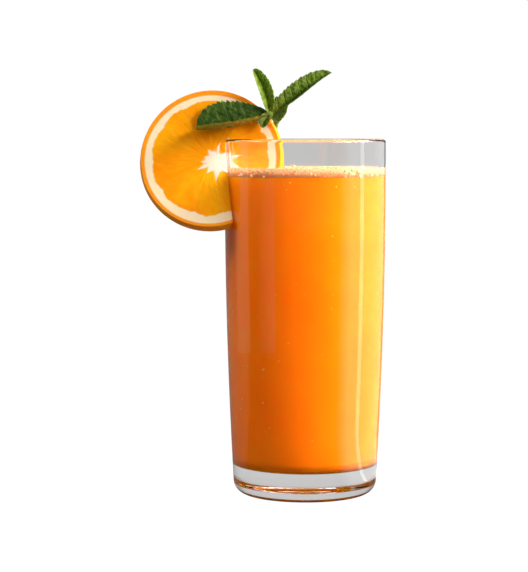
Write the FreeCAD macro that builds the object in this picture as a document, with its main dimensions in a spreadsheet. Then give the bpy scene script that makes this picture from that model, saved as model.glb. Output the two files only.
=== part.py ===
"""A tall tumbler of orange juice, with a slice of orange on its rim and a sprig of mint.

Millimetres, +Z up. The origin is the centre of the glass's underside, on the glass's axis.
-Y is the front. Every size is in the sheet named Sizes, and the features are bound to it.
"""
import FreeCAD, Part

import math
import os

import Sketcher
from FreeCAD import Vector

SIZES = {
    # the glass
    "glass_height": 160.0,
    "rim_radius": 36.1,
    "wall": 3.2,
    "base_thickness": 12.9,
    "shoulder_drop": 21.0,      # straight stretch below the rim
    "flank_bend": 2350.0,       # radius of the slow curve from there to the foot
    "foot_corner": 6.0,
    "floor_corner": 5.0,
    # the drink
    "fill_drop": 12.3,          # from the rim down to the top of the froth
    "froth_depth": 4.0,
    "froth_bead": 3.0,          # width of the raised ring of froth at the wall
    "froth_dip": 0.9,           # how far the middle of the froth lies below that ring
    # the slice
    "slice_radius": 32.4,       # at its wider face, the back
    "orange_beyond": 0.3,       # how much further out the whole fruit reached
    "slice_thickness": 5.0,
    "slice_overhang": 6.0,      # its centre lies this far outside the rim
    "slice_forward": 5.3,       # and this far in front of the glass's axis
    "slice_hang": 9.1,          # and this far below the rim
    "slice_lean": 16.0,         # degrees, top edge away from the front
    "slice_turn": 5.0,          # degrees, outer side away from the front
    "slit_clearance": 0.2,
    # the mint
    "stem_radius": 1.1,
    "stem_gap": 0.8,
    "stem_dip": 10.0,           # how far the stem reaches below the top of the juice
    "crown_radius": 2.0,        # the knot where the leaves leave the stem
    "stem_bend": 4.0,           # radius of its turn behind the slice
    "stem_slant": 0.2,          # how much the stem leans inwards, for each unit down
    "leaf_thickness": 0.9,
    "lying_leaf_length": 33.3,
    "lying_leaf_half_width": 13.0,
    "upright_leaf_length": 22.5,
    "upright_leaf_half_width": 5.6,
    "right_leaf_length": 33.5,
    "right_leaf_half_width": 7.4,
    "hanging_leaf_length": 6.8,
    "hanging_leaf_half_width": 3.2,
    "bud_leaf_length": 9.6,
    "bud_leaf_half_width": 2.4,
}

SHEET = "Sizes"
LEAF_SECTIONS = 10
TIP_HALF_WIDTH = 0.3            # a leaf's tip is cut off this narrow


def write_sheet(doc):
    """Put every size in a cell of its own, under its alias."""
    sheet = doc.addObject("Spreadsheet::Sheet", SHEET)
    for row, (alias, value) in enumerate(SIZES.items(), start=1):
        sheet.set(f"A{row}", alias)
        sheet.set(f"B{row}", str(value))
        sheet.setAlias(f"B{row}", alias)
    doc.recompute()
    return sheet


def origin_plane(body, role):
    """One of the body's own origin planes."""
    return next(item for item in body.Origin.OriginFeatures if item.Role == role)


def new_body(doc, name):
    """An empty body."""
    return doc.addObject("PartDesign::Body", name)


def new_sketch(body, name, role):
    """An empty sketch on one of the body's origin planes."""
    sketch = body.newObject("Sketcher::SketchObject", name)
    sketch.AttachmentSupport = (origin_plane(body, role), [""])
    sketch.MapMode = "FlatFace"
    return sketch


def line(start, end):
    """A straight edge in a sketch."""
    return Part.LineSegment(Vector(*start, 0), Vector(*end, 0))


def arc(centre, radius, first, last):
    """An arc in a sketch, counter-clockwise, angles in degrees."""
    circle = Part.Circle(Vector(*centre, 0), Vector(0, 0, 1), radius)
    return Part.ArcOfCircle(circle, math.radians(first), math.radians(last))


def hold(sketch, kind, *places):
    """A geometric constraint, or a measured one whose value follows later."""
    return sketch.addConstraint(Sketcher.Constraint(kind, *places))


def size(sketch, kind, *places, name, rule):
    """A measured constraint with a name, bound to the sheet."""
    hold(sketch, kind, *places)
    number = sketch.ConstraintCount - 1
    sketch.renameConstraint(number, name)
    sketch.setExpression(f"Constraints.{name}", rule)


def revolve(body, sketch, name):
    """Turn a sketch once round the glass's axis."""
    feature = body.newObject("PartDesign::Revolution", name)
    feature.Profile = sketch
    feature.ReferenceAxis = (sketch, ["V_Axis"])
    feature.Angle = 360.0
    return feature


START, END, CENTRE = 1, 2, 3
ORIGIN, VERTICAL = -1, -2


def tangent_profile(sketch, pieces):
    """Add the pieces of a closed outline and join each to the next.

    pieces holds (geometry, first point, last point, join), where join says how the piece
    meets the next one: "Tangent" where it runs on smoothly, "Coincident" at a corner.
    """
    sketch.addGeometry([piece[0] for piece in pieces], False)
    count = len(pieces)
    for index, (_, _, last, join) in enumerate(pieces):
        following = (index + 1) % count
        hold(sketch, join, index, last, following, pieces[following][1])


def inner_flank(sizes):
    """Centre of the flank's curve, and where the flat floor of the glass ends."""
    centre_x = sizes["rim_radius"] - sizes["flank_bend"]
    shoulder = sizes["glass_height"] - sizes["shoulder_drop"]
    reach = sizes["flank_bend"] - sizes["wall"] - sizes["floor_corner"]
    drop = shoulder - sizes["base_thickness"] - sizes["floor_corner"]
    floor_flat = centre_x + math.sqrt(reach ** 2 - drop ** 2)
    return (centre_x, shoulder), floor_flat


def make_glass(doc, sizes):
    """The tumbler, turned in one piece: thick base, slowly curved flank, round lip."""
    height, wall, base = (sizes[key] for key in ("glass_height", "wall", "base_thickness"))
    outer, bend = sizes["rim_radius"], sizes["flank_bend"]
    foot, corner = sizes["foot_corner"], sizes["floor_corner"]
    centre, floor_flat = inner_flank(sizes)
    foot_flat = centre[0] + math.sqrt((bend - foot) ** 2 - (centre[1] - foot) ** 2)
    lip = height - wall / 2
    foot_angle = math.degrees(math.asin((centre[1] - foot) / (bend - foot)))
    floor_angle = math.degrees(math.asin((centre[1] - base - corner) / (bend - wall - corner)))

    body = new_body(doc, "Glass")
    sketch = new_sketch(body, "GlassProfile", "XZ_Plane")
    tangent_profile(sketch, [
        (line((0, 0), (foot_flat, 0)), START, END, "Tangent"),
        (arc((foot_flat, foot), foot, -90, -foot_angle), START, END, "Tangent"),
        (arc(centre, bend, -foot_angle, 0), START, END, "Tangent"),
        (line((outer, centre[1]), (outer, lip)), START, END, "Tangent"),
        (arc((outer - wall / 2, lip), wall / 2, 0, 180), START, END, "Tangent"),
        (line((outer - wall, lip), (outer - wall, centre[1])), START, END, "Tangent"),
        (arc(centre, bend - wall, -floor_angle, 0), END, START, "Tangent"),
        (arc((floor_flat, base + corner), corner, -90, -floor_angle), END, START, "Tangent"),
        (line((floor_flat, base), (0, base)), START, END, "Coincident"),
        (line((0, base), (0, 0)), START, END, "Coincident"),
    ])
    hold(sketch, "Coincident", 0, START, ORIGIN, START)
    hold(sketch, "Horizontal", 0)
    hold(sketch, "Horizontal", 8)
    hold(sketch, "Vertical", 3)
    hold(sketch, "Vertical", 5)
    hold(sketch, "PointOnObject", 8, END, VERTICAL)
    hold(sketch, "Coincident", 6, CENTRE, 2, CENTRE)
    size(sketch, "Radius", 1, foot, name="foot", rule=f"{SHEET}.foot_corner")
    size(sketch, "Radius", 2, bend, name="flank", rule=f"{SHEET}.flank_bend")
    size(sketch, "Radius", 4, wall / 2, name="lip", rule=f"{SHEET}.wall / 2")
    size(sketch, "Radius", 7, corner, name="floor", rule=f"{SHEET}.floor_corner")
    size(sketch, "DistanceX", ORIGIN, START, 3, START, outer, name="rim",
         rule=f"{SHEET}.rim_radius")
    size(sketch, "DistanceY", ORIGIN, START, 3, START, centre[1], name="shoulder",
         rule=f"{SHEET}.glass_height - {SHEET}.shoulder_drop")
    size(sketch, "DistanceY", ORIGIN, START, 3, END, lip, name="lip_height",
         rule=f"{SHEET}.glass_height - {SHEET}.wall / 2")
    size(sketch, "DistanceY", ORIGIN, START, 8, START, base, name="base",
         rule=f"{SHEET}.base_thickness")
    revolve(body, sketch, "GlassTurned")
    body.Label = "glass"
    return body


def make_cup_space(doc, sizes):
    """The whole inside of the glass, past its rim, from which the drink is cut to its level."""
    outer, wall, bend = (sizes[key] for key in ("rim_radius", "wall", "flank_bend"))
    base, corner = sizes["base_thickness"], sizes["floor_corner"]
    centre, floor_flat = inner_flank(sizes)
    top = sizes["glass_height"]
    angle = math.degrees(math.asin((centre[1] - base - corner) / (bend - wall - corner)))

    body = new_body(doc, "CupSpace")
    sketch = new_sketch(body, "CupProfile", "XZ_Plane")
    tangent_profile(sketch, [
        (line((0, base), (floor_flat, base)), START, END, "Tangent"),
        (arc((floor_flat, base + corner), corner, -90, -angle), START, END, "Tangent"),
        (arc(centre, bend - wall, -angle, 0), START, END, "Tangent"),
        (line((outer - wall, centre[1]), (outer - wall, top)), START, END, "Coincident"),
        (line((outer - wall, top), (0, top)), START, END, "Coincident"),
        (line((0, top), (0, base)), START, END, "Coincident"),
    ])
    hold(sketch, "Horizontal", 0)
    hold(sketch, "Vertical", 3)
    hold(sketch, "Horizontal", 4)
    hold(sketch, "PointOnObject", 0, START, VERTICAL)
    hold(sketch, "PointOnObject", 4, END, VERTICAL)
    size(sketch, "Radius", 1, corner, name="floor", rule=f"{SHEET}.floor_corner")
    size(sketch, "Radius", 2, bend - wall, name="flank",
         rule=f"{SHEET}.flank_bend - {SHEET}.wall")
    size(sketch, "DistanceX", ORIGIN, START, 3, START, outer - wall, name="bore",
         rule=f"{SHEET}.rim_radius - {SHEET}.wall")
    size(sketch, "DistanceY", ORIGIN, START, 3, START, centre[1], name="shoulder",
         rule=f"{SHEET}.glass_height - {SHEET}.shoulder_drop")
    size(sketch, "DistanceY", ORIGIN, START, 4, START, top, name="top",
         rule=f"{SHEET}.glass_height")
    size(sketch, "DistanceY", ORIGIN, START, 0, START, base, name="base",
         rule=f"{SHEET}.base_thickness")
    revolve(body, sketch, "CupTurned")
    return body


def make_rim_clearance(doc, sizes):
    """The upper wall of the glass with the slit's clearance on every side of it."""
    outer, wall, gap = (sizes[key] for key in ("rim_radius", "wall", "slit_clearance"))
    bend, height = sizes["flank_bend"], sizes["glass_height"]
    centre, _ = inner_flank(sizes)
    lip = height - wall / 2
    foot = sizes["base_thickness"]
    inner, beyond = bend - wall - gap, bend + gap
    inner_angle = math.degrees(math.asin((centre[1] - foot) / inner))
    outer_angle = math.degrees(math.asin((centre[1] - foot) / beyond))
    inner_foot = (centre[0] + inner * math.cos(math.radians(inner_angle)), foot)
    outer_foot = (centre[0] + beyond * math.cos(math.radians(outer_angle)), foot)

    body = new_body(doc, "RimClearance")
    sketch = new_sketch(body, "ClearanceProfile", "XZ_Plane")
    tangent_profile(sketch, [
        (line(inner_foot, outer_foot), START, END, "Coincident"),
        (arc(centre, beyond, -outer_angle, 0), START, END, "Tangent"),
        (line((outer + gap, centre[1]), (outer + gap, lip)), START, END, "Tangent"),
        (arc((outer - wall / 2, lip), wall / 2 + gap, 0, 180), START, END, "Tangent"),
        (line((outer - wall - gap, lip), (outer - wall - gap, centre[1])), START, END, "Tangent"),
        (arc(centre, inner, -inner_angle, 0), END, START, "Coincident"),
    ])
    hold(sketch, "Horizontal", 0)
    hold(sketch, "Vertical", 2)
    hold(sketch, "Vertical", 4)
    hold(sketch, "Coincident", 5, CENTRE, 1, CENTRE)
    size(sketch, "Radius", 1, beyond, name="flank",
         rule=f"{SHEET}.flank_bend + {SHEET}.slit_clearance")
    size(sketch, "Radius", 3, wall / 2 + gap, name="lip",
         rule=f"{SHEET}.wall / 2 + {SHEET}.slit_clearance")
    size(sketch, "DistanceX", ORIGIN, START, 2, START, outer + gap, name="rim",
         rule=f"{SHEET}.rim_radius + {SHEET}.slit_clearance")
    size(sketch, "DistanceY", ORIGIN, START, 2, START, centre[1], name="shoulder",
         rule=f"{SHEET}.glass_height - {SHEET}.shoulder_drop")
    size(sketch, "DistanceY", ORIGIN, START, 2, END, lip, name="lip_height",
         rule=f"{SHEET}.glass_height - {SHEET}.wall / 2")
    size(sketch, "DistanceY", ORIGIN, START, 0, START, foot, name="foot",
         rule=f"{SHEET}.base_thickness")
    revolve(body, sketch, "ClearanceTurned")
    return body


SLICE_PLACE = (
    f"placement(vector(-{SHEET}.rim_radius - {SHEET}.slice_overhang; "
    f"-{SHEET}.slice_forward; {SHEET}.glass_height - {SHEET}.slice_hang); "
    f"rotation(-{SHEET}.slice_turn; 0; 90 - {SHEET}.slice_lean))"
)


def make_slice_disc(doc, sizes):
    """The whole round of orange before its slit is cut, with the fruit's own curve at its edge."""
    back_radius = sizes["slice_radius"]
    fruit = back_radius + sizes["orange_beyond"]
    half = sizes["slice_thickness"] / 2
    middle = -half - math.sqrt(fruit ** 2 - back_radius ** 2)
    front_radius = math.sqrt(fruit ** 2 - (half - middle) ** 2)
    back_angle = math.degrees(math.asin((-half - middle) / fruit))
    front_angle = math.degrees(math.asin((half - middle) / fruit))

    body = new_body(doc, "SliceDisc")
    sketch = new_sketch(body, "SliceProfile", "XZ_Plane")
    tangent_profile(sketch, [
        (line((0, -half), (back_radius, -half)), START, END, "Coincident"),
        (arc((0, middle), fruit, back_angle, front_angle), START, END, "Coincident"),
        (line((front_radius, half), (0, half)), START, END, "Coincident"),
        (line((0, half), (0, -half)), START, END, "Coincident"),
    ])
    hold(sketch, "Horizontal", 0)
    hold(sketch, "Horizontal", 2)
    for corner in ((0, START), (2, END), (1, CENTRE)):
        hold(sketch, "PointOnObject", *corner, VERTICAL)
    size(sketch, "Radius", 1, fruit, name="fruit",
         rule=f"{SHEET}.slice_radius + {SHEET}.orange_beyond")
    size(sketch, "DistanceX", ORIGIN, START, 0, END, back_radius, name="back",
         rule=f"{SHEET}.slice_radius")
    size(sketch, "DistanceY", 0, START, ORIGIN, START, half, name="behind",
         rule=f"{SHEET}.slice_thickness / 2")
    size(sketch, "DistanceY", ORIGIN, START, 2, START, half, name="before",
         rule=f"{SHEET}.slice_thickness / 2")
    revolve(body, sketch, "SliceTurned")
    body.setExpression("Placement", SLICE_PLACE)
    doc.recompute()
    return body


def cut(doc, name, base, tool):
    """One object less another."""
    result = doc.addObject("Part::Cut", name)
    result.Base = base
    result.Tool = tool
    return result


def make_slice(doc, disc, clearance):
    """The slice, slit from its lower edge to the rim it hangs on."""
    orange_slice = cut(doc, "OrangeSlice", disc, clearance)
    orange_slice.Label = "orange_slice"
    return orange_slice


class SliceFrame:
    """The slice's own axes: across it, up it, and straight out of its front face."""

    def __init__(self, disc, thickness):
        self.place = disc.Placement
        self.front = thickness / 2

    def point(self, across, up, out):
        """A point of the model, from the slice's centre and its front face."""
        return self.place.multVec(Vector(across, up, self.front + out))

    def direction(self, across, up, out):
        """A direction of the model."""
        return self.place.Rotation.multVec(Vector(across, up, out)).normalize()


CROWN_ANGLE = 36.3              # degrees up the slice's edge, where the sprig hangs over it
CROWN_BEYOND = 0.0              # from that edge out to the knot
CROWN_OUT = 2.5                 # and out from the slice's front face
BEND_ANGLE = 34.0               # where the stem has come round to the slice's back

# Each leaf leaves the knot along its heading. Its two bows push the midrib aside at a third and
# at two thirds of its length, as shares of that length, and taper is how bluntly it ends: the
# less, the blunter. Its two halves rise from the midrib along far and near. All directions are
# across, up and out of the slice.
LEAVES = {
    "lying": {
        "heading": (-0.984, -0.195, -0.033), "taper": 0.38,
        "bows": ((0.0, -0.10, 0.0), (0.0, -0.06, 0.0)),
        "far": (0.0, 0.99, 0.12), "near": (0.0, -0.10, 1.0),
    },
    "upright": {
        "heading": (-0.342, 0.94, 0.0), "taper": 0.5,
        "bows": ((0.09, 0.0, 0.0), (0.09, 0.0, 0.0)),
        "far": (-0.5, 0.0, 0.87), "near": (0.75, 0.0, 0.66),
    },
    "right": {
        "heading": (0.815, 0.58, 0.0), "taper": 0.6,
        "bows": ((0.04, -0.06, 0.0), (-0.02, 0.03, 0.0)),
        "far": (-0.48, 0.69, 0.54), "near": (0.19, -0.27, 0.94),
    },
    "hanging": {
        "heading": (-0.42, -0.90, 0.1), "taper": 0.6,
        "bows": ((-0.15, 0.0, 0.1), (-0.10, 0.0, 0.1)),
        "far": (-0.85, 0.3, 0.5), "near": (0.85, -0.2, 0.5),
    },
    "bud": {
        "heading": (0.32, 0.93, -0.15), "taper": 0.6,
        "bows": ((0.05, 0.0, 0.0), (0.05, 0.0, 0.0)),
        "far": (-0.7, 0.1, 0.7), "near": (0.8, -0.1, 0.6),
    },
}


def bezier(points, share):
    """A point on a cubic Bezier curve, and the curve's direction there."""
    rest = 1 - share
    first, second, third, last = points
    place = (first * rest ** 3 + second * (3 * rest ** 2 * share)
             + third * (3 * rest * share ** 2) + last * share ** 3)
    heading = ((second - first) * (3 * rest ** 2) + (third - second) * (6 * rest * share)
               + (last - third) * (3 * share ** 2))
    return place, heading.normalize()


def blade_width(share, half_width, taper):
    """Half the leaf's width: a narrow stalk that widens, then narrows again to its tip."""
    stalk, swell = 0.7, 0.6
    widest = swell / (swell + taper)
    peak = (widest ** swell) * (1 - widest) ** taper
    swelling = (share ** swell) * (1 - share) ** taper / peak
    return stalk * (1 - share) + (half_width - stalk) * swelling


def across_rib(direction, rib):
    """The part of a direction that stands square to the midrib."""
    return (direction - rib * direction.dot(rib)).normalize()


def leaf_section(place, rib, far, near, half, thickness):
    """One closed outline across a folded leaf: an upper and a lower curve."""
    far, near = across_rib(far, rib), across_rib(near, rib)
    rise = (far + near).normalize() * (thickness / 2)
    edges = place + far * half, place + near * half
    middles = place + far * (half / 2), place + near * (half / 2)
    curves = []
    for side, (start, end) in ((1, (0, 1)), (-1, (1, 0))):
        curve = Part.BSplineCurve()
        curve.interpolate([edges[start], middles[start] + rise * (0.7 * side),
                           place + rise * side, middles[end] + rise * (0.7 * side), edges[end]])
        curves.append(curve.toShape())
    return Part.Wire(curves)


def leaf_shape(frame, crown, form, length, half_width, thickness):
    """A folded leaf from the knot to its tip."""
    heading = Vector(*form["heading"]).normalize()
    first_bow, second_bow = (Vector(*bow) for bow in form["bows"])
    offsets = [Vector(), (heading / 3 + first_bow) * length,
               (heading * (2 / 3) + second_bow) * length, heading * length]
    points = [frame.point(*(crown + offset)) for offset in offsets]
    far, near = frame.direction(*form["far"]), frame.direction(*form["near"])
    sections = []
    for number in range(LEAF_SECTIONS + 1):
        share = 1 - (1 - number / LEAF_SECTIONS) ** 1.5     # closer together near the tip
        place, rib = bezier(points, share)
        half = max(blade_width(share, half_width, form["taper"]), TIP_HALF_WIDTH)
        sections.append(leaf_section(place, rib, far, near, half, thickness * (1 - share / 2)))
    return Part.makeLoft(sections, True, False)


def stem_shape(points, radius, bend):
    """A round stem along two straight runs joined by one arc."""
    first, corner, last = points
    back = (first - corner).normalize()
    onward = (last - corner).normalize()
    half_turn = (math.pi - back.getAngle(onward)) / 2
    reach = bend * math.tan(half_turn)
    inward = (back + onward).normalize() * (bend / math.cos(half_turn) - bend)
    turn = Part.Arc(corner + back * reach, corner + inward, corner + onward * reach)
    path = Part.Wire([Part.makeLine(first, corner + back * reach), turn.toShape(),
                      Part.makeLine(corner + onward * reach, last)])
    section = Part.Wire([Part.makeCircle(radius, first, corner - first)])
    return path.makePipeShell([section], True, False)


def make_sprig(doc, disc, sizes):
    """The mint: five leaves from one knot, on a stem hooked over the slice into the drink."""
    frame = SliceFrame(disc, sizes["slice_thickness"])
    edge, radius, gap = (sizes[key] for key in ("slice_radius", "stem_radius", "stem_gap"))
    angle = math.radians(CROWN_ANGLE)
    reach = edge + CROWN_BEYOND
    crown = Vector(reach * math.cos(angle), reach * math.sin(angle), CROWN_OUT)
    behind = -(sizes["slice_thickness"] + radius + gap)
    bend = math.radians(BEND_ANGLE)
    round_edge = edge + radius + gap + sizes["stem_bend"] / 10
    corner = frame.point(round_edge * math.cos(bend), round_edge * math.sin(bend), behind)
    end_height = (sizes["glass_height"] - sizes["fill_drop"] - sizes["froth_depth"]
                  - sizes["stem_dip"])
    down = frame.direction(-sizes["stem_slant"], -1, 0)
    end = corner + down * ((end_height - corner.z) / down.z)

    shape = Part.makeSphere(sizes["crown_radius"], frame.point(*crown))
    shape = shape.fuse(stem_shape([frame.point(*crown), corner, end], radius,
                                  sizes["stem_bend"]))
    for name, form in LEAVES.items():
        shape = shape.fuse(leaf_shape(frame, crown, form, sizes[f"{name}_leaf_length"],
                                      sizes[f"{name}_leaf_half_width"],
                                      sizes["leaf_thickness"]))
    sprig = doc.addObject("Part::Feature", "MintSprig")
    sprig.Shape = shape
    sprig.Label = "mint_sprig"
    return sprig


def make_juice_space(doc):
    """A plain slab, wider than the glass, from the table up to the underside of the froth."""
    slab = doc.addObject("Part::Cylinder", "JuiceSpace")
    slab.setExpression("Radius", f"2 * {SHEET}.rim_radius")
    slab.setExpression("Height", f"{SHEET}.glass_height - {SHEET}.fill_drop"
                                 f" - {SHEET}.froth_depth")
    return slab


def make_froth_space(doc, sizes):
    """The froth's own outline: flat underneath, and dished inside a raised ring."""
    bore = sizes["rim_radius"] - sizes["wall"]
    top = sizes["glass_height"] - sizes["fill_drop"]
    bottom, dished = top - sizes["froth_depth"], top - sizes["froth_dip"]
    ring = bore - sizes["froth_bead"]
    beyond = bore + sizes["wall"] / 2

    body = new_body(doc, "FrothSpace")
    sketch = new_sketch(body, "FrothProfile", "XZ_Plane")
    tangent_profile(sketch, [
        (line((0, bottom), (beyond, bottom)), START, END, "Coincident"),
        (line((beyond, bottom), (beyond, top)), START, END, "Coincident"),
        (line((beyond, top), (bore, top)), START, END, "Coincident"),
        (line((bore, top), (ring, dished)), START, END, "Coincident"),
        (line((ring, dished), (0, dished)), START, END, "Coincident"),
        (line((0, dished), (0, bottom)), START, END, "Coincident"),
    ])
    for level in (0, 2, 4):
        hold(sketch, "Horizontal", level)
    hold(sketch, "Vertical", 1)
    hold(sketch, "PointOnObject", 0, START, VERTICAL)
    hold(sketch, "PointOnObject", 4, END, VERTICAL)
    full = f"{SHEET}.glass_height - {SHEET}.fill_drop"
    size(sketch, "DistanceY", ORIGIN, START, 0, START, bottom, name="bottom",
         rule=f"{full} - {SHEET}.froth_depth")
    size(sketch, "DistanceY", ORIGIN, START, 2, START, top, name="top", rule=full)
    size(sketch, "DistanceY", ORIGIN, START, 4, START, dished, name="dished",
         rule=f"{full} - {SHEET}.froth_dip")
    size(sketch, "DistanceX", ORIGIN, START, 1, START, beyond, name="beyond",
         rule=f"{SHEET}.rim_radius - {SHEET}.wall / 2")
    size(sketch, "DistanceX", ORIGIN, START, 2, END, bore, name="bore",
         rule=f"{SHEET}.rim_radius - {SHEET}.wall")
    size(sketch, "DistanceX", ORIGIN, START, 4, START, ring, name="ring",
         rule=f"{SHEET}.rim_radius - {SHEET}.wall - {SHEET}.froth_bead")
    revolve(body, sketch, "FrothTurned")
    return body


def make_filling(doc, name, label, cup, space, garnish):
    """What part of the cup's inside a layer takes up, cut round the garnish."""
    layer = doc.addObject("Part::Common", f"{name}Whole")
    layer.Base = cup
    layer.Tool = space
    for number, thing in enumerate(garnish):
        layer = cut(doc, f"{name}Cut{number}", layer, thing)
    layer.Label = label
    return layer


def check_document(doc):
    """Stop if a feature failed: a recompute doesn't raise by itself."""
    for item in doc.Objects:
        if "Invalid" in item.State or "Error" in item.State:
            raise RuntimeError(f"{item.Name} failed: {item.State}")


def write_parts(pieces):
    """Check each piece and write it under its own name."""
    os.makedirs("parts", exist_ok=True)
    for piece in pieces:
        shape = piece.Shape
        if shape.isNull() or not shape.isValid() or len(shape.Solids) != 1:
            raise RuntimeError(f"{piece.Label} isn't one sound solid")
    for piece in pieces:
        piece.Shape.exportStep(os.path.join("parts", f"{piece.Label}.step"))
        print(f"{piece.Label}: {piece.Shape.Volume / 1000:.2f} ml")


def main():
    """Build every piece and write it."""
    doc = FreeCAD.newDocument("OrangeJuice")
    sheet = write_sheet(doc)
    sizes = {alias: float(sheet.get(alias)) for alias in SIZES}
    glass = make_glass(doc, sizes)
    cup = make_cup_space(doc, sizes)
    clearance = make_rim_clearance(doc, sizes)
    disc = make_slice_disc(doc, sizes)
    orange_slice = make_slice(doc, disc, clearance)
    sprig = make_sprig(doc, disc, sizes)
    garnish = (disc, sprig)
    juice = make_filling(doc, "Juice", "juice", cup, make_juice_space(doc), garnish)
    froth = make_filling(doc, "Froth", "froth", cup, make_froth_space(doc, sizes), garnish)
    doc.recompute()
    check_document(doc)
    write_parts([glass, juice, froth, orange_slice, sprig])


main()
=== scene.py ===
# %% [markdown]
# # A glass of orange juice
# This notebook dresses a finished model of a drink: a tall clear tumbler, the juice and its
# froth, a slice of orange hung on the rim and a sprig of mint. The model is loaded first, and
# every place in this file is worked out from it, in metres.

# %% Load the frame
import bmesh
import bpy
import math
from mathutils import Matrix, Vector
from mathutils import noise as field


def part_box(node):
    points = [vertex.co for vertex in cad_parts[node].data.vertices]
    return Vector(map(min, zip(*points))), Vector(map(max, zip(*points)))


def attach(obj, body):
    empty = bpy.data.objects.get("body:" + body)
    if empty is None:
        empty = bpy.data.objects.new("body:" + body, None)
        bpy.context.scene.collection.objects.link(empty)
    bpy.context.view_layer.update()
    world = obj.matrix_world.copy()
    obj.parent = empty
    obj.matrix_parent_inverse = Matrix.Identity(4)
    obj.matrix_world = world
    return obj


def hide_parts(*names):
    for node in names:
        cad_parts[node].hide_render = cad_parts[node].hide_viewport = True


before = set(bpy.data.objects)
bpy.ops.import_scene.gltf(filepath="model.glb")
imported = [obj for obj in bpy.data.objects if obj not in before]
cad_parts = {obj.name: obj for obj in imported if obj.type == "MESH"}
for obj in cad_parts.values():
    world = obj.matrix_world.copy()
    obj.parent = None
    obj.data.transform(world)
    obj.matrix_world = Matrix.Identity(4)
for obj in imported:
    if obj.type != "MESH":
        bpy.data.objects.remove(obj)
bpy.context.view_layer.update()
MM = 0.001
BODY = "root"


def corners(node):
    """The lowest and highest corner of a node, as vectors."""
    low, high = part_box(node)
    return Vector(low), Vector(high)


glass_low, glass_high = corners("glass")
juice_low, juice_high = corners("juice")
froth_low, froth_high = corners("froth")
RIM_RADIUS = glass_high.x
HEIGHT = glass_high.z
BORE = froth_high.x
WALL = RIM_RADIUS - BORE
FLOOR = juice_low.z
JUICE_TOP = juice_high.z
FROTH_TOP = froth_high.z
print(f"glass {HEIGHT / MM:.0f} mm high, rim {2 * RIM_RADIUS / MM:.1f} mm, wall {WALL / MM:.1f} mm")
print(f"drink from {FLOOR / MM:.1f} mm to {JUICE_TOP / MM:.1f} mm,",
      f"froth to {FROTH_TOP / MM:.1f} mm")

# %% [markdown]
# ## The studio
# Glass has no colour of its own: what is seen in it is the room. So the room comes first. A
# pale floor curves up into a pale wall, so that no horizon cuts through the glass, and the sky
# is a soft white. It could be lit by lamps alone, but a lamp has no size in a reflection; large
# glowing panels give the long soft streaks that a drinks studio makes with softboxes.
# The paper is lit on its own in such a picture, and the glass in front is not: so here it glows
# white to the camera, grey through the glass, and nearly dark in what the glass reflects. Light
# Path says what each ray has done so far. A ray that has already met something cloudy, such as
# the juice, gets only a little of the glow, or the paper would light the juice flat.

# %% Floor and backdrop
FLOOR_WIDTH = 4.0
SWEEP_FRONT, SWEEP_BACK, SWEEP_HEIGHT, SWEEP_RADIUS = -1.8, 1.6, 2.2, 0.7


def node_material(name):
    """A material with its own node tree, and its shader and output."""
    material = bpy.data.materials.new(name)
    material.use_nodes = True
    tree = material.node_tree
    return material, tree, tree.nodes["Principled BSDF"], tree.nodes["Material Output"]


def set_inputs(node, **inputs):
    """Plain values on a node's inputs; spaces in their names are underscores here."""
    for name, value in inputs.items():
        node.inputs[name.replace("_", " ")].default_value = value


def mesh_object(name, vertices, faces, smooth=True):
    """A mesh object at the origin, from its points and faces."""
    mesh = bpy.data.meshes.new(name)
    mesh.from_pydata([tuple(point) for point in vertices], [], faces)
    mesh.update()
    mesh.shade_smooth() if smooth else mesh.shade_flat()
    thing = bpy.data.objects.new(name, mesh)
    bpy.context.scene.collection.objects.link(thing)
    return thing


def sweep_profile():
    """Floor, quarter turn and wall, as (y, z) points."""
    turn = [(SWEEP_BACK - SWEEP_RADIUS + SWEEP_RADIUS * math.sin(math.radians(angle)),
             SWEEP_RADIUS - SWEEP_RADIUS * math.cos(math.radians(angle)))
            for angle in range(0, 91, 6)]
    return [(SWEEP_FRONT, 0.0)] + turn + [(SWEEP_BACK, SWEEP_HEIGHT)]


profile = sweep_profile()
sweep_points = [(side * FLOOR_WIDTH / 2, y, z) for y, z in profile for side in (-1, 1)]
sweep_faces = [(2 * k, 2 * k + 1, 2 * k + 3, 2 * k + 2) for k in range(len(profile) - 1)]
sweep = mesh_object("studio_sweep", sweep_points, sweep_faces)
PAPER_TO_CAMERA, PAPER_THROUGH_GLASS, PAPER_IN_GLOSS = 1.14, 0.66, 0.03
PAPER_BEHIND_IN_GLOSS, PAPER_TO_JUICE = 0.20, 0.12
SHADOW_SHARE = 0.12
paper, tree, shader, output = node_material("studio_paper")
set_inputs(shader, Base_Color=(0.17, 0.17, 0.17, 1), Roughness=0.9, Specular_IOR_Level=0.0)


def math_node(tree, operation, first, second=None, clamp=False):
    """Arithmetic on sockets or numbers."""
    node = tree.nodes.new("ShaderNodeMath")
    node.operation = operation
    node.use_clamp = clamp
    for index, value in enumerate((first, second)):
        if value is None:
            continue
        if isinstance(value, (int, float)):
            node.inputs[index].default_value = value
        else:
            tree.links.new(value, node.inputs[index])
    return node.outputs["Value"]


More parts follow.
